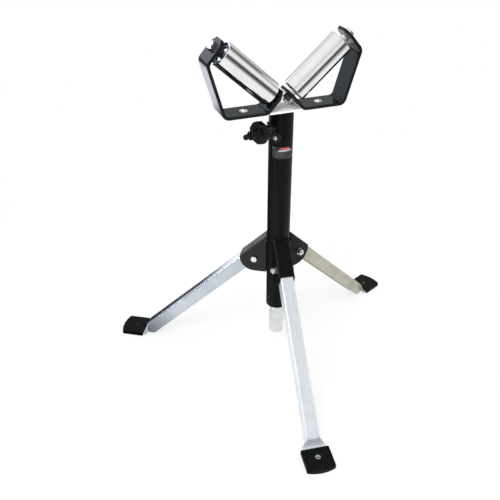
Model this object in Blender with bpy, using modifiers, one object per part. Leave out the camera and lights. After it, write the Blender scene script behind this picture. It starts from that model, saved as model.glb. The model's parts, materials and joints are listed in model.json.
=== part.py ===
"""Folding roller stand: a tripod column with a lifting, swivelling V head that carries two rollers.

The mast stands on +Z, the rollers lie in the XZ plane and the feet rest on z = 0.
"""

import math

import bmesh
import bpy
import numpy as np

MM = 0.001

# Clearances between touching pieces
GAP = 0.3 * MM
HOLE_PLAY = 0.3 * MM

# Column
tube_diameter = 38.0 * MM
tube_wall = 2.0 * MM
tube_bottom = 103.5 * MM
head_height = 464.5 * MM
mast_diameter = 25.4 * MM
mast_wall = 2.0 * MM
mast_bottom = 39.0 * MM
end_cap_lip = 4.0 * MM
end_cap_spigot = 14.0 * MM
guide_length = 120.0 * MM
guide_lip = 1.5 * MM
bottom_bush_length = 22.0 * MM
bottom_bush_lip = 1.5 * MM

# Hub: sleeve, three folded brackets and their pivots
leg_bearings = {"front": math.radians(-99.4), "right": math.radians(22.9), "left": math.radians(147.0)}
leg_slope = math.radians(44.3)
sleeve_wall = 1.8 * MM
sleeve_rise = 35.9 * MM
sleeve_edge = 0.5 * MM
pivot_radius = 38.8 * MM
pivot_height = 199.6 * MM
bracket_sheet = 2.0 * MM
bracket_round = 25.0 * MM
bracket_bend = 2.0 * MM
pivot_bolt_diameter = 6.0 * MM
pivot_head_flats = 10.0 * MM
pivot_head_height = 4.0 * MM
pivot_nut_height = 5.0 * MM
pivot_washer_diameter = 12.0 * MM
pivot_washer_thickness = 1.2 * MM
pivot_bolt_spare = 2.5 * MM
nut_edge = 0.5 * MM

# Legs: sheet channels, web up, opened out into a flat toe plate
leg_width = 22.0 * MM
leg_sheet = 2.0 * MM
leg_depth = 23.0 * MM
leg_web_rise = 17.0 * MM
leg_bend = 2.5 * MM
leg_web_start = 5.0 * MM
leg_end_round = 13.0 * MM
leg_floor = 2.0 * MM
toe_wall_drop = 16.4 * MM
toe_wall_lean = 1.0 * MM
toe_length = 42.0 * MM
toe_bend = 2.5 * MM
toe_width = 40.0 * MM

# Rubber boots
boot_setback = 7.0 * MM
boot_nose = 3.5 * MM
boot_bow = 4.5 * MM
boot_width = 46.0 * MM
boot_sole = 3.0 * MM
boot_top = 2.8 * MM
boot_edge = 1.2 * MM
nail_hole_inset = 17.0 * MM
nail_hole_diameter = 8.0 * MM

# V head brackets, bent from flat bar
bar_width = 38.0 * MM
bar_thickness = 4.8 * MM
bar_bend = 7.0 * MM
bar_edge = 0.5 * MM
inner_bend_x = 29.0 * MM
arm_lean = math.radians(16.2)
ear_hole_height = 24.0 * MM
ear_length = 38.5 * MM
ear_clip = 9.5 * MM
base_hole_x = 60.6 * MM
base_hole_diameter = 12.5 * MM
plate_thickness = 3.0 * MM
plate_edge = 0.3 * MM

# Rollers and their axles
roller_slope = math.radians(41.6)
roller_diameter = 38.0 * MM
roller_wall = 2.0 * MM
roller_length = 100.0 * MM
roller_inner_gap = 5.5 * MM
roller_outer_gap = 9.0 * MM
roller_rim = 0.8 * MM
cap_recess = 2.5 * MM
cap_length = 12.0 * MM
cap_floor = 3.0 * MM
cap_hole_clear = 1.5 * MM
bearing_diameter = 22.0 * MM
bearing_width = 7.0 * MM
axle_diameter = 8.0 * MM
axle_head_flats = 13.0 * MM
axle_head_height = 5.3 * MM
axle_nut_height = 6.5 * MM
axle_bolt_spare = 4.0 * MM
spacer_diameter = 12.0 * MM

# Height lock: saddle, stud and knob opposite the right leg
lock_drop = 26.3 * MM
lock_bearing = math.radians(200.4)
saddle_sheet = 2.5 * MM
saddle_end_diameter = 18.0 * MM
saddle_boss_diameter = 15.0 * MM
saddle_boss_reach = 38.5 * MM
# Places of the screws, down and round the tube from the stud
saddle_screw_places = {"upper": (2.7 * MM, -13.2 * MM), "lower": (11.9 * MM, 9.4 * MM)}
saddle_screw_diameter = 3.6 * MM
saddle_screw_head = 6.4 * MM
saddle_screw_head_height = 2.2 * MM
saddle_screw_seat = 0.6 * MM
stud_diameter = 8.0 * MM
stud_point = 1.0 * MM
knob_inner = 39.5 * MM
knob_face = 48.8 * MM
knob_diameter = 35.0 * MM
knob_lobes = 10
knob_lobe_depth = 1.1 * MM
knob_edge = 2.4 * MM
knob_hub_diameter = 13.8 * MM
knob_hub_reach = 63.8 * MM
knob_hub_flare = 3.0 * MM
knob_hub_edge = 1.0 * MM
knob_tip_diameter = 8.2 * MM
knob_tip_reach = 73.3 * MM
knob_tip_edge = 0.8 * MM
knob_bore_depth = 13.0 * MM

# Facets of round pieces
ROUND = 36
SMALL_ROUND = 20
BEND_STEPS = 4

PARTS = None
CUTTERS = None


def clear_scene():
    for obj in list(bpy.data.objects):
        bpy.data.objects.remove(obj, do_unlink=True)


def new_collection(name):
    collection = bpy.data.collections.new(name)
    bpy.context.scene.collection.children.link(collection)
    return collection


def material(name, colour, roughness, metallic):
    mat = bpy.data.materials.new(name)
    mat.use_nodes = True
    shader = mat.node_tree.nodes["Principled BSDF"]
    shader.inputs["Base Color"].default_value = (*colour, 1.0)
    shader.inputs["Roughness"].default_value = roughness
    shader.inputs["Metallic"].default_value = metallic
    return mat


def empty(name, parent=None, location=(0, 0, 0), rotation=(0, 0, 0)):
    obj = bpy.data.objects.new(name, None)
    obj.empty_display_size = 0.02
    bpy.context.scene.collection.objects.link(obj)
    obj.parent = parent
    obj.location = location
    obj.rotation_euler = rotation
    return obj


def place(name, data, parent, mat=None, location=(0, 0, 0), rotation=(0, 0, 0), cutter=False):
    obj = bpy.data.objects.new(name, data)
    (CUTTERS if cutter else PARTS).objects.link(obj)
    obj.parent = parent
    obj.location = location
    obj.rotation_euler = rotation
    if cutter:
        obj.hide_render = True
        obj.display_type = "WIRE"
    else:
        data.materials.append(mat)
    return obj


def mesh_from(bm, name, smooth=True):
    mesh = bpy.data.meshes.new(name)
    bm.to_mesh(mesh)
    bm.free()
    if smooth:
        mesh.shade_smooth()
        mesh.set_sharp_from_angle(angle=math.radians(35))
    return mesh


def cylinder_mesh(name, radius, start, end, segments=SMALL_ROUND, turn=0.0):
    """Cylinder or prism on the Z axis from start to end, its first corner turned about Z."""
    bm = bmesh.new()
    bmesh.ops.create_cone(bm, cap_ends=True, segments=segments, radius1=radius, radius2=radius,
                          depth=end - start)
    spin = np.array([[math.cos(turn), -math.sin(turn)], [math.sin(turn), math.cos(turn)]])
    for vert in bm.verts:
        vert.co.x, vert.co.y = spin @ (vert.co.x, vert.co.y)
        vert.co.z += (start + end) / 2
    return mesh_from(bm, name)


def hex_mesh(name, flats, start, end):
    return cylinder_mesh(name, flats / math.sqrt(3), start, end, segments=6, turn=math.radians(30))


def box_mesh(name, low, high):
    bm = bmesh.new()
    bmesh.ops.create_cube(bm, size=1.0)
    for vert in bm.verts:
        for axis in range(3):
            vert.co[axis] = low[axis] if vert.co[axis] < 0 else high[axis]
    return mesh_from(bm, name, smooth=False)


def turned(name, profile, parent, mat=None, steps=ROUND, closed=True, cutter=False, **where):
    """Turn a profile of (radius, height) points, outer side first and running down, about local Z."""
    mesh = bpy.data.meshes.new(name)
    points = [(radius, 0.0, height) for radius, height in profile]
    edges = [(i, i + 1) for i in range(len(points) - 1)]
    if closed:
        edges.append((len(points) - 1, 0))
    mesh.from_pydata(points, edges, [])
    obj = place(name, mesh, parent, mat, cutter=cutter, **where)
    screw = obj.modifiers.new("Turn", "SCREW")
    screw.steps = steps
    screw.render_steps = steps
    screw.use_merge_vertices = True
    screw.merge_threshold = 0.00001
    screw.use_normal_calculate = False
    screw.use_smooth_shade = True
    return obj


def ring(inner, outer, bottom, top, edge=0.0):
    """Closed section of a plain ring whose outer corners are chamfered by edge."""
    if not edge:
        return [(outer, top), (outer, bottom), (inner, bottom), (inner, top)]
    return [
        (outer, top - edge), (outer, bottom + edge), (outer - edge, bottom),
        (inner, bottom), (inner, top), (outer - edge, top),
    ]


def flat_outline(name, points, half_thickness):
    """Mesh of a flat outline in the XY plane, extruded both ways along Z."""
    curve = bpy.data.curves.new(name, "CURVE")
    curve.dimensions = "2D"
    curve.fill_mode = "BOTH"
    curve.extrude = half_thickness
    spline = curve.splines.new("POLY")
    spline.points.add(len(points) - 1)
    for point, (x, y) in zip(spline.points, points):
        point.co = (x, y, 0.0, 1.0)
    spline.use_cyclic_u = True
    holder = bpy.data.objects.new(name, curve)
    bpy.context.scene.collection.objects.link(holder)
    bpy.context.view_layer.update()
    mesh = bpy.data.meshes.new_from_object(holder.evaluated_get(bpy.context.evaluated_depsgraph_get()))
    bpy.data.objects.remove(holder, do_unlink=True)
    bpy.data.curves.remove(curve)
    bm = bmesh.new()
    bm.from_mesh(mesh)
    bmesh.ops.remove_doubles(bm, verts=bm.verts, dist=0.00001)
    bmesh.ops.recalc_face_normals(bm, faces=bm.faces)
    bm.to_mesh(mesh)
    bm.free()
    mesh.materials.clear()
    return mesh


def boolean(target, cutter, operation="DIFFERENCE"):
    modifier = target.modifiers.new(operation.title(), "BOOLEAN")
    modifier.operation = operation
    modifier.solver = "EXACT"
    modifier.object = cutter


def bevel(target, width, segments=1, angle=40.0):
    modifier = target.modifiers.new("Bevel", "BEVEL")
    modifier.width = width
    modifier.segments = segments
    modifier.limit_method = "ANGLE"
    modifier.angle_limit = math.radians(angle)
    return modifier


def solidify(target, thickness):
    modifier = target.modifiers.new("Sheet", "SOLIDIFY")
    modifier.thickness = thickness
    modifier.offset = 0.0
    modifier.use_even_offset = True
    modifier.use_quality_normals = True
    return modifier


def bore(target, name, diameter, start, end, parent, **where):
    cutter = place(name, cylinder_mesh(name, diameter / 2, start, end), parent, cutter=True, **where)
    boolean(target, cutter)
    return cutter


def arc(centre, radius, start, end, steps):
    """Points on an arc in a plane, angles in radians."""
    return [
        (centre[0] + radius * math.cos(a), centre[1] + radius * math.sin(a))
        for a in np.linspace(start, end, steps + 1)
    ]


def rounded_path(corners, radius, steps):
    """Polyline through corners in a plane, each inner corner replaced by an arc of the bend radius."""
    corners = [np.array(c, float) for c in corners]
    path = [corners[0]]
    for before, corner, after in zip(corners, corners[1:], corners[2:]):
        inward = (before - corner) / np.linalg.norm(before - corner)
        outward = (after - corner) / np.linalg.norm(after - corner)
        half = math.acos(np.clip(inward @ outward, -1, 1)) / 2
        tangent = radius / math.tan(half)
        middle = (inward + outward) / np.linalg.norm(inward + outward)
        centre = corner + middle * radius / math.sin(half)
        first = corner + inward * tangent - centre
        last = corner + outward * tangent - centre
        sweep = math.atan2(first[0] * last[1] - first[1] * last[0], first @ last)
        for share in np.linspace(0, 1, steps + 1):
            c, s = math.cos(sweep * share), math.sin(sweep * share)
            path.append(centre + np.array([c * first[0] - s * first[1], s * first[0] + c * first[1]]))
    path.append(corners[-1])
    return path


def hex_bolt(name, parent, mat, diameter, flats, head_height, head_at, tip_at, **where):
    """Bolt along local Z: the head starts at head_at and rises, the shank runs down to tip_at."""
    inset = head_height / 2
    shank = place(name, cylinder_mesh(name, diameter / 2, tip_at, head_at + inset), parent, mat, **where)
    head_mesh = hex_mesh(name, flats, head_at, head_at + head_height)
    head = place(name + "_head", head_mesh, parent, cutter=True, **where)
    boolean(shank, head, "UNION")
    return shank


def hex_nut(name, parent, mat, diameter, flats, bottom, top, **where):
    nut = place(name, hex_mesh(name, flats, bottom, top), parent, mat, **where)
    bevel(nut, nut_edge, angle=80.0)
    bore(nut, name + "_bore", diameter + 2 * HOLE_PLAY, bottom - MM, top + MM, parent, **where)
    return nut


# Values that follow from the driving ones
tube_radius = tube_diameter / 2
tube_bore = tube_radius - tube_wall
tube_top = head_height - GAP
lock_height = head_height - lock_drop
mast_radius = mast_diameter / 2
sleeve_bore = tube_radius + GAP
sleeve_radius = sleeve_bore + sleeve_wall
sleeve_top = pivot_height + sleeve_rise
bracket_bottom = pivot_height - bracket_round
leg_rise = leg_web_rise + GAP
bracket_half_inside = leg_width / 2 + GAP
bracket_half_outside = bracket_half_inside + bracket_sheet
boot_slot = leg_sheet + 2 * GAP
boot_height = boot_sole + boot_slot + boot_top
toe_middle = boot_sole + boot_slot / 2

along_leg = np.array([math.cos(leg_slope), -math.sin(leg_slope)])
above_leg = np.array([math.sin(leg_slope), math.cos(leg_slope)])
web_base = above_leg * (leg_web_rise - leg_sheet / 2)
leg_drop = pivot_height + web_base[1] - toe_middle - toe_wall_drop
leg_reach = pivot_radius + web_base[0] + leg_drop / math.tan(leg_slope)
toe_foot = leg_reach + toe_wall_lean
toe_reach = toe_foot + toe_length
boot_inner = toe_foot + boot_setback
boot_outer = toe_reach + boot_nose
nail_hole_reach = toe_reach - nail_hole_inset

ear_way = np.array([-math.sin(roller_slope), math.cos(roller_slope)])
axle_way = np.array([math.cos(roller_slope), math.sin(roller_slope)])
ear_spread = bar_thickness + roller_inner_gap + roller_length + roller_outer_gap


def head_corners():
    """Corners of the bracket's middle line in the XZ plane of the right side, from inner to outer ear."""
    inner = np.array([inner_bend_x, bar_thickness / 2])
    upper = inner + axle_way * ear_spread
    lower = np.array([upper[0] - math.tan(arm_lean) * (upper[1] - inner[1]), inner[1]])
    return [inner + ear_way * ear_length, inner, lower, upper, upper + ear_way * ear_length]


axle_start = head_corners()[1] + ear_way * ear_hole_height


def boot_points(steps=8):
    """Outline of a boot from above: square at the leg, bowed at the toe."""
    half = boot_width / 2
    radius = (half * half + boot_bow * boot_bow) / (2 * boot_bow)
    reach = math.asin(half / radius)
    centre = (boot_outer + boot_bow - radius, 0.0)
    return [(boot_inner, -half)] + arc(centre, radius, -reach, reach, steps) + [(boot_inner, half)]


def footprint_centre():
    """Middle of the box round the three boots, seen from the mast's axis."""
    points = []
    for bearing in leg_bearings.values():
        c, s = math.cos(bearing), math.sin(bearing)
        points += [(c * x - s * y, s * x + c * y) for x, y in boot_points()]
    points = np.array(points)
    return (points.min(axis=0) + points.max(axis=0)) / 2


def column(stand, paint, nylon):
    """Outer tube, its two guides, and the hub sleeve."""
    tube = turned("outer_tube", ring(tube_bore, tube_radius, tube_bottom, tube_top), stand, paint)
    sleeve = ring(sleeve_bore, sleeve_radius, bracket_bottom, sleeve_top, edge=sleeve_edge)
    turned("hub_sleeve", sleeve, stand, paint)
    inner = mast_radius + GAP
    outer = tube_bore - GAP
    guide_top = tube_top - guide_lip
    guide = turned("guide_sleeve", ring(inner, outer, guide_top - guide_length, guide_top), stand, nylon)
    bush_bottom = tube_bottom + bottom_bush_lip
    turned("bottom_bush", ring(inner, outer, bush_bottom, bush_bottom + bottom_bush_length), stand, nylon)
    return tube, guide


def mast(lift, zinc, nylon):
    """Inner tube with the plug in its lower end; heights are measured from the head."""
    bottom = mast_bottom - head_height
    bore_radius = mast_radius - mast_wall
    tube_end = bottom + end_cap_lip + GAP
    turned("mast_tube", ring(bore_radius, mast_radius, tube_end, -GAP), lift, zinc)
    dome = arc((mast_radius - end_cap_lip, bottom + end_cap_lip), end_cap_lip, 0.0, math.radians(-90.0), 3)
    spigot = bore_radius - GAP
    top = tube_end + end_cap_spigot
    profile = [(0.0, top), (spigot, top), (spigot, bottom + end_cap_lip)] + dome + [(0.0, bottom)]
    turned("mast_end_cap", profile, lift, nylon, closed=False)


def head_plate(head, zinc):
    """Plate welded between the two brackets, its ends sloped like their inner ears."""
    def end(height):
        lean = (height - bar_thickness / 2) * math.sin(roller_slope)
        return inner_bend_x - (bar_thickness / 2 + lean) / math.cos(roller_slope) - GAP
    low, high = end(0.0), end(plate_thickness)
    outline = [(-low, 0.0), (low, 0.0), (high, plate_thickness), (-high, plate_thickness)]
    mesh = flat_outline("head_plate", outline, bar_width / 2)
    plate = place("head_plate", mesh, head, zinc, rotation=(math.radians(90), 0, 0))
    bevel(plate, plate_edge)


def bracket_sheet_mesh(name, side):
    """Middle surface of a bracket: a strip bent along the path, its two ends clipped at the corners."""
    path = rounded_path(head_corners(), bar_bend + bar_thickness / 2, BEND_STEPS)
    for end, neighbour in ((0, 1), (-1, -2)):
        way = (path[neighbour] - path[end]) / np.linalg.norm(path[neighbour] - path[end])
        clip = path[end] + way * ear_clip
        path.insert(1 if end == 0 else len(path) - 1, clip)
    bm = bmesh.new()
    rows = []
    for index, (x, z) in enumerate(path):
        half = bar_width / 2
        if index in (0, len(path) - 1):
            half -= ear_clip
        rows.append([bm.verts.new((side * x, y, z)) for y in (-half, half)])
    for lower, upper in zip(rows, rows[1:]):
        bm.faces.new((lower[0], lower[1], upper[1], upper[0]))
    bmesh.ops.recalc_face_normals(bm, faces=bm.faces)
    return mesh_from(bm, name)


def head_bracket(head, axis, side, name, paint):
    """Flat bar bent to inner ear, base, arm and outer ear, with holes for the axle and a fixing."""
    bracket = place(name, bracket_sheet_mesh(name, side), head, paint)
    solidify(bracket, bar_thickness)
    bevel(bracket, bar_edge, angle=50.0)
    clearance = axle_diameter + 2 * HOLE_PLAY
    bore(bracket, name + "_axle_hole", clearance, -2 * bar_thickness, ear_spread + 2 * bar_thickness, axis)
    bore(bracket, name + "_base_hole", base_hole_diameter, -bar_thickness, 2 * bar_thickness, head,
         location=(side * base_hole_x, 0, 0))
    return bracket


def roller(axis, spin, label, steel, paint, zinc):
    """Steel shell with end caps and ball bearings; local Z runs outward from the inner ear's middle."""
    start = bar_thickness / 2 + roller_inner_gap
    end = start + roller_length
    shell_bore = roller_diameter / 2 - roller_wall
    shell = ring(shell_bore, roller_diameter / 2, start, end, edge=roller_rim)
    turned("roller_shell_" + label, shell, spin, steel)
    bearing_seat = bearing_diameter / 2 + GAP
    cap_outer = shell_bore - GAP
    hub_clear = spacer_diameter / 2 + cap_hole_clear
    for tag, face, inward in (("inner", start, 1), ("outer", end, -1)):
        outside = face + inward * cap_recess
        floor = outside + inward * (cap_length - cap_floor)
        inside = outside + inward * cap_length
        profile = [(cap_outer, outside), (cap_outer, inside), (hub_clear, inside), (hub_clear, floor),
                   (bearing_seat, floor), (bearing_seat, outside)]
        if inward > 0:
            profile = profile[::-1]
        turned("roller_cap_%s_%s" % (label, tag), profile, spin, paint)
        far = floor - inward * GAP
        near = far - inward * bearing_width
        low, high = min(near, far), max(near, far)
        race = ring(axle_diameter / 2 + HOLE_PLAY, bearing_diameter / 2, low, high)
        turned("bearing_%s_%s" % (label, tag), race, spin, zinc, steps=SMALL_ROUND)
        ear_face = bar_thickness / 2 if inward > 0 else ear_spread - bar_thickness / 2
        ends = sorted((ear_face + inward * GAP, near - inward * GAP))
        spacer = ring(axle_diameter / 2 + HOLE_PLAY, spacer_diameter / 2, ends[0], ends[1])
        turned("axle_spacer_%s_%s" % (label, tag), spacer, axis, zinc, steps=SMALL_ROUND)


def axle(axis, label, zinc):
    """Long bolt from the outer ear to a nut inside the inner ear."""
    inner_face = -bar_thickness / 2 - GAP
    nut_end = inner_face - axle_nut_height
    tip = nut_end - axle_bolt_spare
    head_at = ear_spread + bar_thickness / 2 + GAP
    hex_bolt("axle_bolt_" + label, axis, zinc, axle_diameter, axle_head_flats, axle_head_height, head_at, tip)
    hex_nut("axle_nut_" + label, axis, zinc, axle_diameter, axle_head_flats, nut_end, inner_face)


def hub_bracket_mesh(name):
    """Middle surface of a leg bracket: sloped web, two bends and two side plates round about the pivot.

    Its inner edges follow the tube and, below, the sleeve.
    """
    half_sheet = bracket_sheet / 2
    pivot = np.array([pivot_radius, pivot_height])
    rise = leg_rise + half_sheet
    web_half = bracket_half_outside - half_sheet - bracket_bend

    def ends(side, height, turned_down):
        """Inner and outer end of the line along the slope at this place of the section."""
        nearest = abs(side) - half_sheet * math.sin(turned_down)
        inner = math.sqrt((tube_radius + GAP) ** 2 - nearest ** 2)
        inner += half_sheet * math.cos(turned_down) * above_leg[0]
        foot = pivot + above_leg * height
        start = foot + along_leg * (inner - foot[0]) / along_leg[0]
        end = foot + along_leg * math.sqrt(bracket_round ** 2 - height ** 2)
        return start, end

    section = [(side, rise, 0.0) for side in np.linspace(0.0, web_half, 3)]
    for step in range(1, BEND_STEPS):
        turned_down = math.radians(90.0) * step / (BEND_STEPS - 1)
        section.append((web_half + bracket_bend * math.sin(turned_down),
                        rise - bracket_bend * (1 - math.cos(turned_down)), turned_down))
    section = [(-side, height, turn) for side, height, turn in section[:0:-1]] + section
    bm = bmesh.new()
    rows = []
    for side, height, turned_down in section:
        rows.append([bm.verts.new((r, side, z)) for r, z in ends(side, height, turned_down)])
    for before, after in zip(rows, rows[1:]):
        bm.faces.new((before[0], before[1], after[1], after[0]))
    at_tube = math.sqrt((tube_radius + GAP) ** 2 - bracket_half_inside ** 2)
    at_sleeve = math.sqrt((sleeve_radius + GAP) ** 2 - bracket_half_inside ** 2)
    for row, side in ((rows[0], -1), (rows[-1], 1)):
        along = row[1].co
        start = math.atan2(along.z - pivot[1], along.x - pivot[0])
        outline = arc(pivot, bracket_round, start, math.radians(-90.0), 12)[1:]
        outline += [(at_sleeve, bracket_bottom), (at_sleeve, sleeve_top + GAP), (at_tube, sleeve_top + GAP)]
        plate = [bm.verts.new((r, side * (bracket_half_outside - half_sheet), z)) for r, z in outline]
        bm.faces.new([row[0], row[1]] + plate)
    bmesh.ops.recalc_face_normals(bm, faces=bm.faces)
    return mesh_from(bm, name)


def hub_bracket(bay, name, paint):
    bracket = place(name, hub_bracket_mesh(name), bay, paint)
    solidify(bracket, bracket_sheet)
    reach = 2 * bracket_half_outside
    bore(bracket, name + "_hole", pivot_bolt_diameter + 2 * HOLE_PLAY, -reach, reach, bay,
         location=(pivot_radius, 0, pivot_height), rotation=(math.radians(-90), 0, 0))


def pivot_set(bay, label, zinc):
    """Bolt, washer and nut of a leg's pivot; the head is on the counter-clockwise side."""
    where = {"location": (pivot_radius, 0, pivot_height), "rotation": (math.radians(-90), 0, 0)}
    face = bracket_half_outside + GAP
    washer_end = -face - pivot_washer_thickness
    nut_top = washer_end - GAP
    nut_end = nut_top - pivot_nut_height
    hex_bolt("pivot_bolt_" + label, bay, zinc, pivot_bolt_diameter, pivot_head_flats, pivot_head_height, face,
             nut_end - pivot_bolt_spare, **where)
    hex_nut("pivot_nut_" + label, bay, zinc, pivot_bolt_diameter, pivot_head_flats, nut_end, nut_top, **where)
    washer = ring(pivot_bolt_diameter / 2 + HOLE_PLAY, pivot_washer_diameter / 2, washer_end, -face)
    turned("pivot_washer_" + label, washer, bay, zinc, steps=SMALL_ROUND, **where)


def leg_section():
    """Half of the channel's section as (side, depth) points of its middle surface, from the web outward."""
    web_half = leg_width / 2 - leg_sheet / 2 - leg_bend
    fold = [(web_half + leg_bend * math.sin(a), leg_bend * (1 - math.cos(a)))
            for a in np.linspace(0.0, math.radians(90.0), BEND_STEPS)]
    return fold + [(leg_width / 2 - leg_sheet / 2, leg_depth - leg_sheet / 2)]


def leg_sheet_mesh(name):
    """Middle surface of a leg in its pivot's frame: a channel whose web drops into a flared toe."""
    toe_height = toe_middle - pivot_height
    wall_top = np.array([leg_reach - pivot_radius, toe_height + toe_wall_drop])
    wall_foot = np.array([toe_foot - pivot_radius, toe_height])
    wall = (wall_foot - wall_top) / np.linalg.norm(wall_foot - wall_top)
    toe_end = np.array([toe_reach - pivot_radius, toe_height])
    start = web_base - along_leg * 1.5 * leg_end_round
    curve = rounded_path([start, wall_top, wall_foot, toe_end], toe_bend + leg_sheet / 2, BEND_STEPS)

    drop = -(wall @ above_leg)
    ahead = np.cross(np.append(wall, 0), np.append(curve[1] - wall_top, 0))[2]
    channel_end = curve[1] - along_leg * (leg_sheet / 2 + GAP - abs(ahead)) / drop
    section = [(-side, depth) for side, depth in leg_section()[::-1]] + leg_section()
    bm = bmesh.new()
    rows = []
    for point, way, share in ((start, -above_leg, 1.0), (channel_end, wall, drop)):
        row = []
        for side, depth in section:
            spot = point + way * depth / share
            row.append(bm.verts.new((spot[0], side, spot[1])))
        rows.append(row)
    for before, after in zip(zip(*rows), list(zip(*rows))[1:]):
        bm.faces.new((before[0], after[0], after[1], before[1]))

    web_half = leg_section()[0][0]
    middle = len(section) // 2
    last = rows[1][middle - 1:middle + 1]
    travelled = np.cumsum([0.0] + [np.linalg.norm(b - a) for a, b in zip(curve[1:], curve[2:])])
    neck = travelled[BEND_STEPS]
    flat = travelled[-2]
    for point, distance in zip(curve[1:], travelled):
        if distance < neck:
            half = web_half + (leg_width / 2 - web_half) * distance / neck
        else:
            flare = min((distance - neck) / (flat - neck), 1.0)
            half = leg_width / 2 + (toe_width - leg_width) / 2 * flare
        row = [bm.verts.new((point[0], side * half, point[1])) for side in (-1, 1)]
        bm.faces.new((last[0], last[1], row[1], row[0]))
        last = row
    bmesh.ops.recalc_face_normals(bm, faces=bm.faces)
    return mesh_from(bm, name)


def leg_side_points():
    """Side outline that the channel is cut to: round flange ends about the pivot, web cut back."""
    base = above_leg * (leg_web_rise + MM)
    far = toe_reach + boot_width
    start = base + along_leg * leg_web_start
    heading = math.atan2(above_leg[1], above_leg[0])
    shoulder = math.acos(leg_web_start / leg_end_round)
    first = heading - math.radians(90.0) + shoulder
    flange_end = arc((0.0, 0.0), leg_end_round, first, heading + math.radians(170.0), 10)
    floor = leg_floor - pivot_height
    below = -above_leg * 2 * leg_depth
    return [(far, start[1]), tuple(start)] + flange_end + [tuple(below), (below[0], floor), (far, floor)]


def leg(axis, label, zinc):
    name = "leg_" + label
    obj = place(name, leg_sheet_mesh(name), axis, zinc)
    solidify(obj, leg_sheet)
    mesh = flat_outline(name + "_side", leg_side_points(), leg_width * 2)
    side = place(name + "_side", mesh, axis, cutter=True, rotation=(math.radians(90), 0, 0))
    boolean(obj, side, "INTERSECT")
    bore(obj, name + "_pivot_hole", pivot_bolt_diameter + 2 * HOLE_PLAY, -leg_width, leg_width, axis,
         rotation=(math.radians(90), 0, 0))
    bore(obj, name + "_nail_hole", nail_hole_diameter, -leg_width, leg_width, axis,
         location=(nail_hole_reach - pivot_radius, 0, toe_middle - pivot_height))
    return obj


def boot(axis, label, rubber):
    """Rubber boot pushed over the toe plate, with a hole through it for a nail or a screw."""
    name = "boot_" + label
    mesh = flat_outline(name, boot_points(), boot_height / 2)
    where = {"location": (-pivot_radius, 0, boot_height / 2 - pivot_height)}
    obj = place(name, mesh, axis, rubber, **where)
    bevel(obj, boot_edge, segments=2, angle=60.0)
    half = toe_width / 2 + GAP
    low = (boot_inner - boot_width, -half, -boot_slot / 2)
    high = (toe_reach + GAP, half, boot_slot / 2)
    middle = {"location": (-pivot_radius, 0, toe_middle - pivot_height)}
    slot = place(name + "_slot", box_mesh(name, low, high), axis, cutter=True, **middle)
    boolean(obj, slot)
    bore(obj, name + "_nail_hole", nail_hole_diameter, -boot_height, boot_height, axis,
         location=(nail_hole_reach - pivot_radius, 0, toe_middle - pivot_height))
    return obj


def saddle_outline_mesh(name, inner, outer):
    """Block with radial sides, in the stud's frame, that cuts the saddle's oval round its two screws."""
    upper, lower = (np.array(saddle_screw_places[tag]) for tag in ("upper", "lower"))
    heading = math.atan2(*(lower - upper)[::-1])
    radius = saddle_end_diameter / 2
    oval = arc(lower, radius, heading - math.radians(90), heading + math.radians(90), 8)
    oval += arc(upper, radius, heading + math.radians(90), heading + math.radians(270), 8)
    seat = tube_radius + GAP + saddle_sheet
    bm = bmesh.new()
    rings = []
    for reach in (inner, outer):
        rings.append([bm.verts.new((down, reach * math.sin(around / seat), reach * math.cos(around / seat)))
                      for down, around in oval])
    for index in range(len(oval)):
        before = index - 1
        bm.faces.new((rings[0][before], rings[0][index], rings[1][index], rings[1][before]))
    bm.faces.new(rings[0][::-1])
    bm.faces.new(rings[1])
    bmesh.ops.recalc_face_normals(bm, faces=bm.faces)
    return mesh_from(bm, name, smooth=False)


def saddle(stand, axis, tube, guide, paint):
    """Curved oval plate on the tube, held by two screws, with the stud's threaded boss."""
    inner = tube_radius + GAP
    outer = inner + saddle_sheet
    reach = max(abs(down) for down, _ in saddle_screw_places.values()) + saddle_end_diameter
    obj = turned("lock_saddle", ring(inner, outer, lock_height - reach, lock_height + reach), stand, paint)
    mesh = saddle_outline_mesh("lock_saddle_outline", tube_radius / 2, 2 * tube_radius)
    blank = place("lock_saddle_outline", mesh, axis, cutter=True)
    boolean(obj, blank, "INTERSECT")
    boss_radius = saddle_boss_diameter / 2
    boss_mesh = cylinder_mesh("lock_saddle_boss", boss_radius, tube_radius / 2, saddle_boss_reach)
    boss = place("lock_saddle_boss", boss_mesh, axis, cutter=True)
    core = cylinder_mesh("lock_saddle_core", inner + GAP, lock_height - reach, lock_height + reach, ROUND)
    boolean(boss, place("lock_saddle_core", core, stand, cutter=True))
    boolean(obj, boss, "UNION")
    stud_hole = bore(obj, "lock_stud_hole", stud_diameter + 2 * HOLE_PLAY, mast_radius, knob_face, axis)
    boolean(tube, stud_hole)
    boolean(guide, stud_hole)
    return obj


def saddle_screws(stand, obj, tube, zinc):
    """Two pan head screws through the saddle into the tube's wall."""
    seat = tube_radius + GAP + saddle_sheet
    for tag, (down, around) in saddle_screw_places.items():
        bearing = lock_bearing + around / seat
        where = {"location": (0, 0, lock_height - down), "rotation": (0, math.radians(90), bearing)}
        under = seat + saddle_screw_seat
        crown = under + saddle_screw_head_height
        tip = tube_bore + GAP
        shank = saddle_screw_diameter / 2
        rim = saddle_screw_head / 2
        dome = [(rim * 0.55, crown), (rim, under + saddle_screw_head_height * 0.45), (rim, under)]
        profile = [(0.0, crown)] + dome + [(shank, under), (shank, tip), (0.0, tip)]
        turned("saddle_screw_" + tag, profile, stand, zinc, steps=SMALL_ROUND, closed=False, **where)
        hole = bore(obj, "saddle_hole_" + tag, saddle_screw_diameter + 2 * HOLE_PLAY, tube_bore - MM,
                    seat + 2 * MM, stand, **where)
        boolean(tube, hole)


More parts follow.
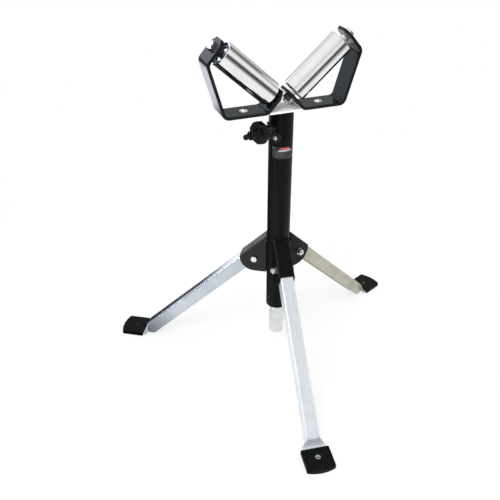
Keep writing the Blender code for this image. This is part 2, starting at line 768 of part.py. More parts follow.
def lock(slide, turn, plastic, zinc):
    """Stud that presses on the mast, and the knob moulded round its outer end."""
    tip = mast_radius + GAP
    bore_end = knob_inner + knob_bore_depth
    radius = stud_diameter / 2
    stud = [(0.0, bore_end - GAP), (radius, bore_end - GAP), (radius, tip + stud_point),
            (radius - stud_point, tip), (0.0, tip)]
    turned("lock_stud", stud, slide, zinc, steps=SMALL_ROUND, closed=False)
    points = []
    count = knob_lobes * 3
    for step in range(count):
        angle = math.tau * step / count
        radius = knob_diameter / 2 - knob_lobe_depth * (0.5 - 0.5 * math.cos(knob_lobes * angle))
        points.append((radius * math.cos(angle), radius * math.sin(angle)))
    mesh = flat_outline("lock_knob", points, (knob_face - knob_inner) / 2)
    for vert in mesh.vertices:
        vert.co.z += (knob_face + knob_inner) / 2
    knob = place("lock_knob", mesh, turn, plastic)
    bevel(knob, knob_edge, segments=2, angle=60.0)
    hub_radius = knob_hub_diameter / 2
    tip_radius = knob_tip_diameter / 2
    sunk = knob_face - MM
    hub = [(0.0, knob_tip_reach), (tip_radius - knob_tip_edge, knob_tip_reach),
           (tip_radius, knob_tip_reach - knob_tip_edge), (tip_radius, knob_hub_reach),
           (hub_radius - knob_hub_edge, knob_hub_reach), (hub_radius, knob_hub_reach - knob_hub_edge),
           (hub_radius, knob_face + knob_hub_flare), (hub_radius + knob_hub_flare, sunk), (0.0, sunk)]
    cone = turned("lock_knob_hub", hub, turn, steps=24, closed=False, cutter=True)
    boolean(knob, cone, "UNION")
    bore(knob, "lock_knob_bore", stud_diameter + 2 * GAP, knob_inner - MM, bore_end, turn)


def main():
    global PARTS, CUTTERS
    clear_scene()
    PARTS = new_collection("roller_stand")
    CUTTERS = new_collection("cutters")
    paint = material("black_paint", (0.012, 0.013, 0.014), 0.22, 0.0)
    zinc = material("zinc_plate", (0.62, 0.64, 0.67), 0.34, 1.0)
    steel = material("roller_steel", (0.72, 0.72, 0.72), 0.16, 1.0)
    rubber = material("black_rubber", (0.014, 0.014, 0.015), 0.62, 0.0)
    plastic = material("black_plastic", (0.016, 0.016, 0.017), 0.45, 0.0)
    nylon = material("white_nylon", (0.70, 0.69, 0.65), 0.50, 0.0)

    centre = footprint_centre()
    stand = empty("stand", location=(-centre[0], -centre[1], 0))
    tube, guide = column(stand, paint, nylon)

    for label, bearing in leg_bearings.items():
        bay = empty("bay_" + label, stand, rotation=(0, 0, bearing))
        hub_bracket(bay, "hub_bracket_" + label, paint)
        pivot_set(bay, label, zinc)
        axis = empty("leg_axis_" + label, bay, location=(pivot_radius, 0, pivot_height))
        leg(axis, label, zinc)
        boot(axis, label, rubber)

    lift = empty("lift", stand, location=(0, 0, head_height))
    mast(lift, zinc, nylon)
    head = empty("head_turn", lift)
    head_plate(head, zinc)
    for label, side in (("right", 1), ("left", -1)):
        axis = empty("axle_" + label, head, location=(side * axle_start[0], 0, axle_start[1]),
                     rotation=(0, side * (math.pi / 2 - roller_slope), 0))
        head_bracket(head, axis, side, "head_bracket_" + label, paint)
        spin = empty("roller_spin_" + label, axis)
        roller(axis, spin, label, steel, plastic, zinc)
        axle(axis, label, zinc)

    lock_axis = empty("lock_axis", stand, location=(0, 0, lock_height),
                      rotation=(0, math.radians(90), lock_bearing))
    fixed = saddle(stand, lock_axis, tube, guide, paint)
    saddle_screws(stand, fixed, tube, zinc)
    slide = empty("lock_slide", lock_axis)
    turn = empty("lock_turn", slide)
    lock(slide, turn, plastic, zinc)


main()
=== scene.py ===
"""Dresses the folding roller stand, then adds its camera, floor and light."""
import json
import math

import bmesh
import bpy
from mathutils import Matrix, Vector


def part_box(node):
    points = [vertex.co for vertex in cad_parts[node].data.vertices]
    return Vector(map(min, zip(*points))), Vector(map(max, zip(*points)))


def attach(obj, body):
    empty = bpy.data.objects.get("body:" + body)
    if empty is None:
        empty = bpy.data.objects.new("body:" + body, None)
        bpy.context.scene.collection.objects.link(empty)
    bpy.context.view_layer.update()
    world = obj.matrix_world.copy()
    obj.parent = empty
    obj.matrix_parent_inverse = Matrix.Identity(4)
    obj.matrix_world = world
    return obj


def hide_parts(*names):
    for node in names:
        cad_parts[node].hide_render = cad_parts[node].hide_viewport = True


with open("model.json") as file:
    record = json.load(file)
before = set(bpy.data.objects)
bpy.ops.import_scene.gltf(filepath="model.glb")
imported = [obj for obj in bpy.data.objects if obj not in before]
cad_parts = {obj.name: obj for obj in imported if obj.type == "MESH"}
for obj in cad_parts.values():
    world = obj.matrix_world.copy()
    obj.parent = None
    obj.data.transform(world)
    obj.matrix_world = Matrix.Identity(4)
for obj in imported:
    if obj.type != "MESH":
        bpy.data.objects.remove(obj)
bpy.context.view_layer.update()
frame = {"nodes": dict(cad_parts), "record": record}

MM = 0.001
nodes = frame["nodes"]
behaviour = frame["record"]["behaviour"]
joints = {joint["name"]: joint for joint in behaviour["joints"]}
body_of = {node: body for body, held in behaviour["bodies"].items() for node in held}
sides = {"right": 1, "left": -1}
leg_bearings = {"front": math.radians(-99.4), "right": math.radians(22.9), "left": math.radians(147.0)}

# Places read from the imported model
tube_low, tube_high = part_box("outer_tube")
mast_axis = Vector(((tube_low.x + tube_high.x) / 2, (tube_low.y + tube_high.y) / 2, 0))
tube_radius = (tube_high.x - tube_low.x) / 2
head_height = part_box("head_plate")[0].z
sleeve_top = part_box("hub_sleeve")[1].z
bracket_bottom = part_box("hub_sleeve")[0].z
sleeve_radius = (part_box("hub_sleeve")[1].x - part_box("hub_sleeve")[0].x) / 2
mast_radius = (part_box("mast_tube")[1].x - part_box("mast_tube")[0].x) / 2
lock_height = joints["lock_turn"]["pos_m"][2]

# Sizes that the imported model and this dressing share
pivot_radius = 38.8 * MM
pivot_height = 199.6 * MM
leg_slope = math.radians(44.3)
roller_slope = math.radians(41.6)
bracket_half_width = 13.3 * MM
bracket_web_face = 19.3 * MM
base_hole_place = 60.6 * MM
base_hole_radius = 6.25 * MM
nail_hole_reach = 271.0 * MM
nail_hole_radius = 4.0 * MM
lock_bearing = math.radians(200.4)
saddle_face = tube_radius + 2.8 * MM
saddle_screw_places = {"upper": (2.7 * MM, -13.2 * MM), "lower": (11.9 * MM, 9.4 * MM)}

# Threads: depth as a share of the pitch, and number of turns
thread_depth = 0.61
thread_turns = 8.0

# Bolt heads and nuts: radii of their round faces and drop of their corners, as shares of the width across flats
washer_face = 0.47
flat_top = 0.46
corner_drop = 0.08

# Points in every turned ring
round_steps = 48

# The photograph's camera, fitted to the stand
view_azimuth = math.radians(-24.101)
view_elevation = math.radians(32.318)
view_roll = math.radians(1.402)
view_distance = 1084.9 * MM
aim_height = 226.74 * MM
focal_pixels = 641.53
centre_pixel = (278.12, 243.29)
frame_pixels = 500
sensor_width = 36.0


# Finishes

class Tree:
    """A shader node tree being built."""

    def __init__(self, tree):
        self.tree = tree

    def node(self, kind, **settings):
        node = self.tree.nodes.new(kind)
        for setting, value in settings.items():
            setattr(node, setting, value)
        return node

    def link(self, source, target):
        self.tree.links.new(source, target)

    def mix(self, factor, first, second):
        """Colour that goes from first to second; each is a colour or a colour socket."""
        mix = self.node("ShaderNodeMix", data_type="RGBA")
        self.link(factor, mix.inputs["Factor"])
        for socket, value in (("A", first), ("B", second)):
            if isinstance(value, tuple):
                mix.inputs[socket].default_value = (*value, 1)
            else:
                self.link(value, mix.inputs[socket])
        return mix.outputs["Result"]


class Finish(Tree):
    """One material, with its coordinates centred on the mast."""

    def __init__(self, name, colour, roughness, metallic=0.0, turn=0.0, **sockets):
        self.material = bpy.data.materials.new(name)
        self.material.use_nodes = True
        super().__init__(self.material.node_tree)
        self.shader = self.tree.nodes["Principled BSDF"]
        self.shader.inputs["Base Color"].default_value = (*colour, 1)
        self.shader.inputs["Roughness"].default_value = roughness
        self.shader.inputs["Metallic"].default_value = metallic
        for socket, value in sockets.items():
            self.shader.inputs[socket.replace("_", " ")].default_value = value
        coordinates = self.node("ShaderNodeTexCoord")
        mapping = self.node("ShaderNodeMapping", vector_type="TEXTURE")
        mapping.inputs["Location"].default_value = mast_axis
        mapping.inputs["Rotation"].default_value = (0, 0, turn)
        self.link(coordinates.outputs["Object"], mapping.inputs["Vector"])
        self.place = mapping.outputs["Vector"]

    def noise(self, scale, detail=3.0, roughness=0.5, stretch=None):
        """Noise of about 1/scale metres, drawn out along an axis whose stretch is small."""
        place = self.place
        if stretch is not None:
            squash = self.node("ShaderNodeMapping")
            squash.inputs["Scale"].default_value = stretch
            self.link(place, squash.inputs["Vector"])
            place = squash.outputs["Vector"]
        noise = self.node("ShaderNodeTexNoise")
        noise.inputs["Scale"].default_value = scale
        noise.inputs["Detail"].default_value = detail
        noise.inputs["Roughness"].default_value = roughness
        self.link(place, noise.inputs["Vector"])
        return noise.outputs["Fac"]

    def ramp(self, factor, stops):
        ramp = self.node("ShaderNodeValToRGB")
        elements = ramp.color_ramp.elements
        while len(elements) < len(stops):
            elements.new(0.5)
        for element, (position, colour) in zip(elements, stops):
            element.position = position
            element.color = (*colour, 1)
        self.link(factor, ramp.inputs["Fac"])
        return ramp.outputs["Color"]

    def spread(self, factor, low, high, start=0.3, end=0.7):
        spread = self.node("ShaderNodeMapRange")
        for socket, value in zip(("From Min", "From Max", "To Min", "To Max"), (start, end, low, high)):
            spread.inputs[socket].default_value = value
        self.link(factor, spread.inputs["Value"])
        return spread.outputs["Result"]

    def from_line(self, point, way):
        """Distance from the line through point along way, in the finish's own coordinates."""
        offset = self.node("ShaderNodeVectorMath", operation="SUBTRACT")
        self.link(self.place, offset.inputs[0])
        offset.inputs[1].default_value = point
        across = self.node("ShaderNodeVectorMath", operation="CROSS_PRODUCT")
        self.link(offset.outputs["Vector"], across.inputs[0])
        across.inputs[1].default_value = way
        length = self.node("ShaderNodeVectorMath", operation="LENGTH")
        self.link(across.outputs["Vector"], length.inputs[0])
        return length.outputs["Value"]

    def math(self, operation, first, second=None):
        """Math node whose inputs are numbers or sockets."""
        node = self.node("ShaderNodeMath", operation=operation)
        for socket, value in zip(node.inputs, (first, second)):
            if value is None:
                continue
            if isinstance(value, (int, float)):
                socket.default_value = value
            else:
                self.link(value, socket)
        return node.outputs["Value"]

    def colour(self, source):
        self.link(source, self.shader.inputs["Base Color"])

    def colour_from(self, factor, stops):
        self.colour(self.ramp(factor, stops))

    def roughness_from(self, factor, low, high):
        self.link(self.spread(factor, low, high), self.shader.inputs["Roughness"])

    def bump_from(self, height, strength, distance):
        bump = self.node("ShaderNodeBump")
        bump.inputs["Strength"].default_value = strength
        bump.inputs["Distance"].default_value = distance
        self.link(height, bump.inputs["Height"])
        self.link(bump.outputs["Normal"], self.shader.inputs["Normal"])


def powder_coat(name, depth, specular):
    """Satin black coat on the column and hub: drawn faintly along the tube, with a fine skin."""
    finish = Finish(name, (depth, depth, depth), 0.34, Specular_IOR_Level=specular)
    streaks = finish.noise(150, detail=3, stretch=(1.0, 1.0, 0.03))
    finish.colour_from(streaks, [(0.38, (0.4 * depth, 0.4 * depth, 0.5 * depth)),
                                 (0.66, (1.8 * depth, 2.0 * depth, 2.2 * depth))])
    finish.roughness_from(finish.noise(70, detail=5), 0.30, 0.44)
    finish.bump_from(finish.noise(1300, detail=2), 0.10, 0.06 * MM)
    return finish.material


def gloss_enamel(name):
    """Gloss black on the head brackets, bright where the base hole was drilled through it."""
    finish = Finish(name, (0.005, 0.006, 0.006), 0.12, IOR=1.26)
    folded = finish.node("ShaderNodeVectorMath", operation="ABSOLUTE")
    finish.link(finish.place, folded.inputs[0])
    finish.place = folded.outputs["Vector"]
    drilled = finish.math("LESS_THAN", finish.from_line((base_hole_place, 0, 0), (0, 0, 1)),
                          base_hole_radius + 0.1 * MM)
    cloud = finish.ramp(finish.noise(30, detail=4),
                        [(0.35, (0.003, 0.004, 0.004)), (0.68, (0.009, 0.010, 0.010))])
    finish.colour(finish.mix(drilled, cloud, (0.97, 0.97, 0.98)))
    finish.link(drilled, finish.shader.inputs["Metallic"])
    finish.roughness_from(finish.noise(75, detail=5), 0.08, 0.18)
    finish.bump_from(finish.noise(260, detail=2), 0.05, 0.12 * MM)
    return finish.material


def zinc_sheet(name, bearing, dark, light, sheen=0.62, gloss=(0.22, 0.34)):
    """Zinc plated sheet: rolling lines along the leg, cloudy spangle and a fine grain."""
    finish = Finish(name, light, 0.28, metallic=sheen, turn=bearing)
    cloud = finish.noise(26, detail=4, roughness=0.55)
    lines = finish.noise(150, detail=4, stretch=(0.10, 1.0, 0.10))
    blended = finish.math("ADD", finish.math("MULTIPLY", cloud, 0.65),
                          finish.math("MULTIPLY", lines, 0.35))
    finish.colour_from(blended, [(0.32, dark), (0.66, light)])
    finish.roughness_from(finish.noise(40, detail=4, stretch=(0.25, 1.5, 0.25)), *gloss)
    finish.bump_from(finish.noise(420, detail=2, stretch=(0.10, 1.0, 0.10)), 0.015, 0.04 * MM)
    return finish.material


def polished_steel(name):
    """Ground and polished roller tube with barely seen grinding marks round it."""
    finish = Finish(name, (0.86, 0.87, 0.87), 0.11, metallic=1.0)
    finish.colour_from(finish.noise(24, detail=4), [(0.3, (0.80, 0.81, 0.81)), (0.7, (0.88, 0.89, 0.89))])
    finish.roughness_from(finish.noise(130, detail=5), 0.08, 0.15)
    finish.bump_from(finish.noise(520, detail=3), 0.03, 0.05 * MM)
    return finish.material


def bright_zinc(name, colour, roughness, metallic=1.0):
    """Bright plated fasteners, spacers and the mast."""
    finish = Finish(name, colour, roughness, metallic=metallic)
    deep = tuple(channel * 0.84 for channel in colour)
    finish.colour_from(finish.noise(120, detail=4), [(0.35, deep), (0.65, colour)])
    finish.roughness_from(finish.noise(240, detail=4), roughness * 0.8, roughness * 1.3)
    finish.bump_from(finish.noise(1500, detail=2), 0.05, 0.05 * MM)
    return finish.material


def moulded(name, colour, roughness, grain, depth, specular=0.4):
    """Moulded rubber, nylon or plastic with a fine grained skin."""
    finish = Finish(name, colour, roughness, Specular_IOR_Level=specular)
    light = tuple(min(channel * 1.6 + 0.003, 1.0) for channel in colour)
    finish.colour_from(finish.noise(45, detail=5), [(0.35, colour), (0.7, light)])
    finish.roughness_from(finish.noise(110, detail=4), roughness * 0.85, roughness * 1.15)
    finish.bump_from(finish.noise(grain, detail=3), depth, 0.2 * MM)
    return finish.material


def bare_label(name):
    """Plain label with no words: dark field, a red bar, a pale rule under it and a worn grey patch."""
    finish = Finish(name, (0.02, 0.03, 0.03), 0.40)
    uv = finish.node("ShaderNodeUVMap", uv_map="label")
    parts = finish.node("ShaderNodeSeparateXYZ")
    finish.link(uv.outputs["UV"], parts.inputs["Vector"])
    across, up = parts.outputs["X"], parts.outputs["Y"]

    def strip(value, low, high, soft):
        rise = finish.spread(value, 0.0, 1.0, low - soft, low + soft)
        fall = finish.spread(value, 1.0, 0.0, high - soft, high + soft)
        return finish.math("MULTIPLY", rise, fall)

    def patch(left, right, low, high, soft):
        return finish.math("MULTIPLY", strip(across, left, right, soft), strip(up, low, high, soft))

    smudge = finish.math("MULTIPLY", patch(0.10, 0.62, 0.16, 0.72, 0.14),
                         finish.spread(finish.noise(260, detail=4), 0.25, 1.0))
    field = finish.mix(smudge, (0.007, 0.008, 0.009), (0.055, 0.062, 0.060))
    ruled = finish.mix(patch(0.30, 0.92, 0.66, 0.73, 0.035), field, (0.72, 0.72, 0.74))
    finish.colour(finish.mix(patch(0.40, 0.80, 0.80, 0.93, 0.03), ruled, (0.70, 0.10, 0.11)))
    finish.roughness_from(finish.noise(160, detail=4), 0.32, 0.5)
    finish.bump_from(finish.noise(900, detail=2), 0.06, 0.05 * MM)
    return finish.material


column_coat = powder_coat("column_powder_coat", 0.0030, 0.10)
saddle_coat = powder_coat("saddle_powder_coat", 0.0075, 0.30)
# The three hub brackets are one part in one coat. The front one is made darker and less glossy as painted
# shade, and the left one lighter and glossier as painted light.
bracket_lit_and_shaded_coats = {
    "front": powder_coat("front_bracket_coat_painted_shade", 0.0015, 0.15),
    "right": column_coat,
    "left": powder_coat("left_bracket_coat_painted_light", 0.0040, 0.36),
}
head_enamel = gloss_enamel("head_gloss_enamel")
# The three legs are one zinc part. Each gets its own tones, gloss and metal share as painted light and shade:
# the front lightest, the right darker and yellower, and the left in between and fully metallic.
leg_zinc = {
    "front": zinc_sheet("front_leg_zinc_painted_light", leg_bearings["front"], (0.61, 0.65, 0.69), (0.74, 0.78, 0.83),
                        sheen=0.35),
    "right": zinc_sheet("right_leg_zinc_painted_shade", leg_bearings["right"], (0.32, 0.32, 0.25), (0.49, 0.48, 0.40)),
    "left": zinc_sheet("left_leg_zinc_painted_lighting", leg_bearings["left"], (0.50, 0.56, 0.61), (0.68, 0.72, 0.78),
                       sheen=1.0, gloss=(0.15, 0.25)),
}
roller_polish = polished_steel("roller_polish")
bolt_zinc = bright_zinc("bolt_zinc", (0.86, 0.88, 0.92), 0.20)
nut_steel = bright_zinc("dark_nut_steel", (0.10, 0.10, 0.11), 0.34)
mast_zinc = bright_zinc("mast_zinc", (0.81, 0.82, 0.82), 0.40)
# The head plate's zinc is near-white and not metallic: a painted reflection standing in for the bright
# surroundings it would mirror.
plate_zinc_painted_reflection = bright_zinc("plate_zinc_painted_reflection", (0.98, 0.99, 0.97), 0.30, metallic=0.0)
boot_rubber = moulded("boot_rubber", (0.0015, 0.0018, 0.002), 0.42, 420, 0.22, specular=0.07)
knob_plastic = moulded("knob_plastic", (0.002, 0.002, 0.0025), 0.30, 800, 0.12, specular=0.15)
cap_plastic = moulded("cap_plastic", (0.006, 0.007, 0.008), 0.40, 600, 0.12)
guide_nylon = moulded("guide_nylon", (0.68, 0.67, 0.64), 0.45, 500, 0.08)
label_print = bare_label("bare_label")


# Making pieces

def new_piece(name, mesh, body, finish=None, smooth_under=None):
    """Object at the origin for a mesh already in place, riding its body."""
    piece = bpy.data.objects.new(name, mesh)
    bpy.context.scene.collection.objects.link(piece)
    if finish is not None:
        mesh.materials.clear()
        mesh.materials.append(finish)
    if smooth_under is not None:
        mesh.shade_smooth()
        mesh.set_sharp_from_angle(angle=math.radians(smooth_under))
    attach(piece, body)
    return piece


def settle(piece):
    """Turn a piece's modifiers into plain mesh."""
    bpy.context.view_layer.update()
    seen = piece.evaluated_get(bpy.context.evaluated_depsgraph_get())
    mesh = bpy.data.meshes.new_from_object(seen)
    piece.modifiers.clear()
    piece.data = mesh


def dressed_copy(node, finish, edge=0.0):
    """A CAD piece's own shape with merged faces, smooth rounds and, where asked, softened edges."""
    bm = bmesh.new()
    bm.from_mesh(nodes[node].data)
    bmesh.ops.remove_doubles(bm, verts=bm.verts, dist=0.003 * MM)
    bmesh.ops.dissolve_limit(bm, angle_limit=math.radians(0.7), verts=bm.verts, edges=bm.edges)
    mesh = bpy.data.meshes.new("dressed_" + node)
    bm.to_mesh(mesh)
    bm.free()
    piece = new_piece("dressed_" + node, mesh, body_of[node], finish, smooth_under=32)
    if edge:
        soften = piece.modifiers.new("Soft edges", "BEVEL")
        soften.width = edge
        soften.segments = 2
        soften.limit_method = "ANGLE"
        soften.angle_limit = math.radians(50)
    weigh = piece.modifiers.new("Even shading", "WEIGHTED_NORMAL")
    weigh.keep_sharp = True
    settle(piece)
    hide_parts(node)


def ring_stack(stations, place, hollow=False):
    """Closed skin over rings of equal length; hollow joins the last ring to the first."""
    bm = bmesh.new()
    loops = [[bm.verts.new(place @ Vector(point)) for point in station] for station in stations]
    pairs = list(zip(loops, loops[1:]))
    if hollow:
        pairs.append((loops[-1], loops[0]))
    for lower, upper in pairs:
        for index in range(len(lower)):
            bm.faces.new((lower[index - 1], lower[index], upper[index], upper[index - 1]))
    if not hollow:
        bm.faces.new(loops[0][::-1])
        bm.faces.new(loops[-1])
    bmesh.ops.recalc_face_normals(bm, faces=bm.faces)
    mesh = bpy.data.meshes.new("skin")
    bm.to_mesh(mesh)
    bm.free()
    return mesh


def turned_copy(node, stations, place, finish, smooth_under, hollow=False):
    """A round piece's finer shape in place of its CAD piece."""
    mesh = ring_stack(stations, place, hollow)
    piece = new_piece("turned_" + node, mesh, body_of[node], finish, smooth_under)
    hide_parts(node)


def circle(radius, height):
    turns = [math.tau * step / round_steps for step in range(round_steps)]
    return [(radius * math.cos(turn), radius * math.sin(turn), height) for turn in turns]


def hexagon(flats, height, drop=0.0):
    """Hexagon ring; drop is how far a chamfer has taken its corners away from height."""
    ring = []
    corner = flats / math.sqrt(3)
    for step in range(round_steps):
        angle = math.tau * step / round_steps
        radius = flats / 2 / math.cos(angle % math.radians(60) - math.radians(30))
        share = (radius - flats / 2) / (corner - flats / 2)
        ring.append((radius * math.cos(angle), radius * math.sin(angle),
                     height - drop * (0.15 + 0.85 * share)))
    return ring


def span_along(node, place):
    """Lowest and highest reach of a CAD piece along the Z axis of place."""
    inverse = place.inverted()
    reaches = [(inverse @ vertex.co).z for vertex in nodes[node].data.vertices]
    return min(reaches), max(reaches)


def hex_bolt(node, place, radius, flats, head, pitch, finish):
    """Bolt with a chamfered head and a root cut for its thread; returns where the thread starts."""
    low, high = span_along(node, place)
    root = radius - thread_depth * pitch
    cut = low + (thread_turns + 1) * pitch
    under = high - head
    stations = [circle(root - 0.4 * MM, low), circle(root, low + 0.4 * MM), circle(root, cut),
                circle(radius, cut + 0.4 * MM), circle(radius, under), circle(flats * washer_face, under),
                circle(flats * washer_face, under + 0.3 * MM), hexagon(flats, under + 0.3 * MM),
                hexagon(flats, high - 0.1 * MM, drop=corner_drop * flats), circle(flats * flat_top, high)]
    turned_copy(node, stations, place, finish, 28)
    return place @ Matrix.Translation((0, 0, low + 0.5 * pitch))


def hex_nut(node, place, radius, flats, finish):
    """Nut with both faces chamfered and its thread's mouth opened."""
    low, high = span_along(node, place)
    bore = radius + 0.05 * MM
    stations = [circle(bore, low + 0.5 * MM), circle(bore + 0.5 * MM, low), circle(flats * flat_top, low),
                hexagon(flats, low + 0.1 * MM, drop=-corner_drop * flats),
                hexagon(flats, high - 0.1 * MM, drop=corner_drop * flats), circle(flats * flat_top, high),
                circle(bore + 0.5 * MM, high), circle(bore, high - 0.5 * MM)]
    turned_copy(node, stations, place, finish, 28, hollow=True)


def tree_with(name, sizes, takes_mesh):
    """Empty geometry tree with an input for each size; returns it, their identifiers and the input node."""
    tree = bpy.data.node_groups.new(name, "GeometryNodeTree")
    if takes_mesh:
        tree.interface.new_socket("Geometry", in_out="INPUT", socket_type="NodeSocketGeometry")
    sockets = {}
    for label, value in sizes.items():
        socket = tree.interface.new_socket(label, in_out="INPUT", socket_type="NodeSocketFloat")
        socket.default_value = value
        sockets[label] = socket.identifier
    tree.interface.new_socket("Geometry", in_out="OUTPUT", socket_type="NodeSocketGeometry")
    return tree, sockets, tree.nodes.new("NodeGroupInput")


def finish_tree(tree, skin, finish):
    """The end of a geometry tree: real mesh, its material and the output."""
    realize = tree.nodes.new("GeometryNodeRealizeInstances")
    paint = tree.nodes.new("GeometryNodeSetMaterial")
    paint.inputs["Material"].default_value = finish
    output = tree.nodes.new("NodeGroupOutput")
    tree.links.new(skin, realize.inputs["Geometry"])
    tree.links.new(realize.outputs["Geometry"], paint.inputs["Geometry"])
    tree.links.new(paint.outputs["Geometry"], output.inputs["Geometry"])


def thread_tree(finish):
    """Helical ridge of a rolled thread, rising on Z from its first turn."""
    sizes = {"Root Radius": 3.3 * MM, "Pitch": 1.25 * MM, "Turns": thread_turns, "Ridge": 0.6 * MM}
    tree, sockets, given = tree_with("rolled_thread", sizes, takes_mesh=False)
    rise = tree.nodes.new("ShaderNodeMath")
    rise.operation = "MULTIPLY"
    tree.links.new(given.outputs["Pitch"], rise.inputs[0])
    tree.links.new(given.outputs["Turns"], rise.inputs[1])
    spiral = tree.nodes.new("GeometryNodeCurveSpiral")
    spiral.inputs["Resolution"].default_value = 28
    tree.links.new(given.outputs["Turns"], spiral.inputs["Rotations"])
    tree.links.new(given.outputs["Root Radius"], spiral.inputs["Start Radius"])
    tree.links.new(given.outputs["Root Radius"], spiral.inputs["End Radius"])
    tree.links.new(rise.outputs["Value"], spiral.inputs["Height"])
    upright = tree.nodes.new("GeometryNodeSetCurveNormal")
    upright.mode = "Z_UP"
    ridge = tree.nodes.new("GeometryNodeCurvePrimitiveCircle")
    ridge.inputs["Resolution"].default_value = 4
    sweep = tree.nodes.new("GeometryNodeCurveToMesh")
    sweep.inputs["Fill Caps"].default_value = True
    tree.links.new(given.outputs["Ridge"], ridge.inputs["Radius"])
    tree.links.new(spiral.outputs["Curve"], upright.inputs["Curve"])
    tree.links.new(upright.outputs["Curve"], sweep.inputs["Curve"])
    tree.links.new(ridge.outputs["Curve"], sweep.inputs["Profile Curve"])
    finish_tree(tree, sweep.outputs["Mesh"], finish)
    return tree, sockets


def weld_tree(finish):
    """Rippled bead along the edges it is given."""
    sizes = {"Bead": 1.1 * MM, "Ripple": 1.1 * MM}
    tree, sockets, given = tree_with("weld_bead", sizes, takes_mesh=True)
    path = tree.nodes.new("GeometryNodeMeshToCurve")
    stepped = tree.nodes.new("GeometryNodeResampleCurve")
    stepped.mode = "LENGTH"
    chance = tree.nodes.new("FunctionNodeRandomValue")
    chance.data_type = "FLOAT"
    for socket, value in (("Min_001", 0.72), ("Max_001", 1.0), ("Seed", 7)):
        next(entry for entry in chance.inputs if entry.identifier == socket).default_value = value
    size = tree.nodes.new("ShaderNodeMath")
    size.operation = "MULTIPLY"
    around = tree.nodes.new("GeometryNodeCurvePrimitiveCircle")
    around.inputs["Resolution"].default_value = 8
    around.inputs["Radius"].default_value = 1.0
    sweep = tree.nodes.new("GeometryNodeCurveToMesh")
    sweep.inputs["Fill Caps"].default_value = True
    tree.links.new(given.outputs["Geometry"], path.inputs["Mesh"])
    tree.links.new(path.outputs["Curve"], stepped.inputs["Curve"])
    tree.links.new(given.outputs["Ripple"], stepped.inputs["Length"])
    tree.links.new(chance.outputs[1], size.inputs[0])
    tree.links.new(given.outputs["Bead"], size.inputs[1])
    tree.links.new(stepped.outputs["Curve"], sweep.inputs["Curve"])
    tree.links.new(around.outputs["Curve"], sweep.inputs["Profile Curve"])
    tree.links.new(size.outputs["Value"], sweep.inputs["Scale"])
    finish_tree(tree, sweep.outputs["Mesh"], finish)
    return tree, sockets


def grown(tree, sockets, sizes, mesh=None):
    """Plain mesh that a tree makes with these sizes."""
    holder = bpy.data.objects.new("grown", mesh or bpy.data.meshes.new("grown"))
    bpy.context.scene.collection.objects.link(holder)
    modifier = holder.modifiers.new("Grow", "NODES")
    modifier.node_group = tree
    for label, value in sizes.items():
        modifier[sockets[label]] = value
    settle(holder)
    result = holder.data
    bpy.data.objects.remove(holder, do_unlink=True)
    return result


def joined(meshes):
    """One mesh from several (mesh, place) pairs."""
    bm = bmesh.new()
    for mesh, place in meshes:
        mesh.transform(place)
        bm.from_mesh(mesh)
    bmesh.ops.recalc_face_normals(bm, faces=bm.faces)
    whole = bpy.data.meshes.new("joined")
    bm.to_mesh(whole)
    bm.free()
    return whole


def lines(paths):
    """Mesh of edges along several paths of points."""
    mesh = bpy.data.meshes.new("paths")
    points, edges = [], []
    for path in paths:
        edges += [(len(points) + step, len(points) + step + 1) for step in range(len(path) - 1)]
        points += path
    mesh.from_pydata(points, edges, [])
    return mesh


# The stand's own pieces

def bay_place(bearing, reach=0.0, height=0.0):
    """Frame turned to a bearing about the mast, then moved out and up."""
    return (Matrix.Translation(mast_axis) @ Matrix.Rotation(bearing, 4, "Z")
            @ Matrix.Translation((reach, 0, height)))


def pivot_place(label):
    place = bay_place(leg_bearings[label], pivot_radius, pivot_height)
    return place @ Matrix.Rotation(math.radians(-90), 4, "X")


def axle_place(side):
    place = Matrix.Translation(joints["roller_%s_spin" % side]["pos_m"])
    return place @ Matrix.Rotation(sides[side] * (math.radians(90) - roller_slope), 4, "Y")


def finish_hidden_nodes():
    """CAD pieces that stay as they are, inside the others."""
    hidden = {"guide_sleeve": guide_nylon, "bottom_bush": guide_nylon, "lock_stud": bolt_zinc}
    for name, finish in hidden.items():
        for slot in nodes[name].material_slots:
            slot.material = finish


def dress_sheet_and_tube():
    """Column, hub, legs, head and mast, with smooth rounds and soft cut edges."""
    sheet_edge = 0.35 * MM
    for node in ("outer_tube", "hub_sleeve"):
        dressed_copy(node, column_coat)
    dressed_copy("lock_saddle", saddle_coat, edge=0.3 * MM)
    dressed_copy("lock_knob", knob_plastic)
    dressed_copy("mast_tube", mast_zinc)
    dressed_copy("mast_end_cap", guide_nylon)
    dressed_copy("head_plate", plate_zinc_painted_reflection)
    for label in leg_bearings:
        dressed_copy("hub_bracket_" + label, bracket_lit_and_shaded_coats[label], edge=sheet_edge)
        dressed_copy("leg_" + label, leg_zinc[label], edge=sheet_edge)
        dressed_copy("boot_" + label, boot_rubber)
        dressed_copy("pivot_washer_" + label, bolt_zinc)
    for side in sides:
        dressed_copy("head_bracket_" + side, head_enamel)
        dressed_copy("roller_shell_" + side, roller_polish)
        for end in ("inner", "outer"):
            dressed_copy("roller_cap_%s_%s" % (side, end), cap_plastic)
            dressed_copy("axle_spacer_%s_%s" % (side, end), bolt_zinc)


def ball_bearing(node, place, finish):
    """Races and pressed shield, with the grooves between them: radius and depth below the face."""
    low, high = span_along(node, place)
    section = [(4.3, 0.0), (6.2, 0.0), (6.4, 0.5), (7.2, 0.5), (7.4, 0.25), (9.0, 0.25), (9.2, 0.5),
               (9.7, 0.5), (9.9, 0.0), (10.7, 0.0), (11.0, 0.3)]
    lower = [circle(radius * MM, low + depth * MM) for radius, depth in section]
    upper = [circle(radius * MM, high - depth * MM) for radius, depth in reversed(section)]
    turned_copy(node, lower + upper, place, finish, 30, hollow=True)


